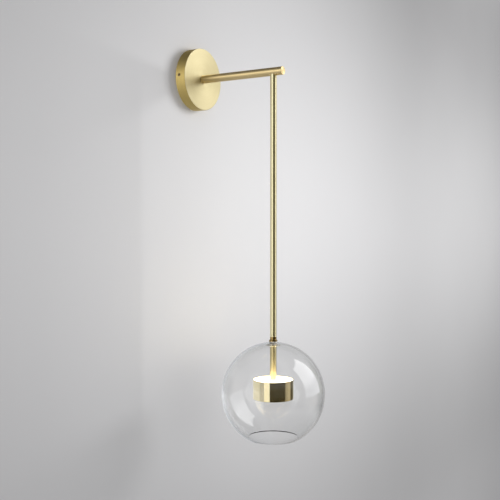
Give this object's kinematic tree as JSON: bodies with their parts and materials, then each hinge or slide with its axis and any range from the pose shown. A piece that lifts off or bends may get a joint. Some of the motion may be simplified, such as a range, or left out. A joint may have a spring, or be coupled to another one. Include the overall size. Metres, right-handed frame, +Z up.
{
  "type": "globe wall sconce",
  "caption": "Brass wall light: round canopy, straight arm, long drop rod and a clear open-bottomed glass globe around a drum head that shines upwards.",
  "frame": {"origin": "centre of the canopy's back, on the wall, at the middle of the wall bracket's back face", "axes": "+X across the wall, +Z up, +Y into the wall; the arm leaves the wall along -Y"},
  "size_m": [0.15, 0.2165, 0.5757],
  "materials": {
    "spun_brass": "spun disc with fine turned lines, satin lacquer",
    "brushed_brass": "brushed along the tube, satin lacquer",
    "polished_brass": "polished, with faint drawing lines along the tube",
    "mirror_brass": "mirror polished and lacquered",
    "dark_brass": "turned, aged",
    "raw_brass": "turned, unfinished",
    "bright_washer": "nickel plated, bright",
    "clear_glass": "blown, clear, with a ground and polished rim",
    "clear_silicone": "moulded, translucent",
    "opal_acrylic": "opal, lit warm white from below",
    "phosphor": "light emitting chip under phosphor",
    "white_board": "white solder mask",
    "bare_aluminium": "die cast, shot blasted",
    "zinc_steel": "zinc plated pressing",
    "black_steel": "black oxide",
    "plated_screw": "nickel plated",
    "tinned_copper": "tin plated",
    "white_nylon": "moulded, fine spark texture",
    "driver_case": "moulded, fine spark texture",
    "foam_pad": "closed cell foam, adhesive both sides",
    "supply_jacket": "extruded silicone jacket",
    "earth_jacket": "green and yellow jacket",
    "lamp_jacket": "extruded white jacket"
  },
  "bodies": {
    "fixture": {"wall_bracket": "zinc_steel", "canopy_cover": "spun_brass", "terminal_block": "white_nylon", "terminal_clamp_screws": "plated_screw", "terminal_fixing_screws": "plated_screw", "earth_screw": "raw_brass", "earth_terminal": "tinned_copper", "earth_lead": "earth_jacket", "led_driver": "driver_case", "driver_pad": "foam_pad", "driver_input_leads": "supply_jacket", "lamp_lead": "lamp_jacket", "arm_nipple": "raw_brass", "nipple_bush": "white_nylon", "arm_lock_washer": "zinc_steel", "arm_lock_nut": "raw_brass", "arm_tube": "brushed_brass", "arm_end_cap": "brushed_brass", "tee_insert": "raw_brass", "rod_stud": "raw_brass", "drop_rod": "polished_brass", "globe_collar": "dark_brass", "globe_spindle": "raw_brass", "upper_glass_washer": "clear_silicone", "lower_glass_washer": "clear_silicone", "support_washer": "bright_washer", "lamp_stem": "polished_brass", "head_nipple": "raw_brass", "head_housing": "mirror_brass", "heat_sink": "bare_aluminium", "led_board": "white_board", "led_chips": "phosphor", "board_screws": "plated_screw", "diffuser": "opal_acrylic"},
    "left_screw": {"side_screw_left": "black_steel"},
    "right_screw": {"side_screw_right": "black_steel"},
    "globe": {"glass_globe": "clear_glass"}
  },
  "joints": [
    {"name": "left_screw_travel", "type": "slide", "parent": "fixture", "child": "left_screw", "axis": [1, 0, 0], "range_m": [0, 0.003]},
    {"name": "right_screw_travel", "type": "slide", "parent": "fixture", "child": "right_screw", "axis": [-1, 0, 0], "range_m": [0, 0.003]},
    {"name": "globe_turn", "type": "hinge", "parent": "fixture", "child": "globe", "pos_m": [0, -0.1415, -0.4647], "axis": [0, 0, 1], "continuous": true}
  ]
}
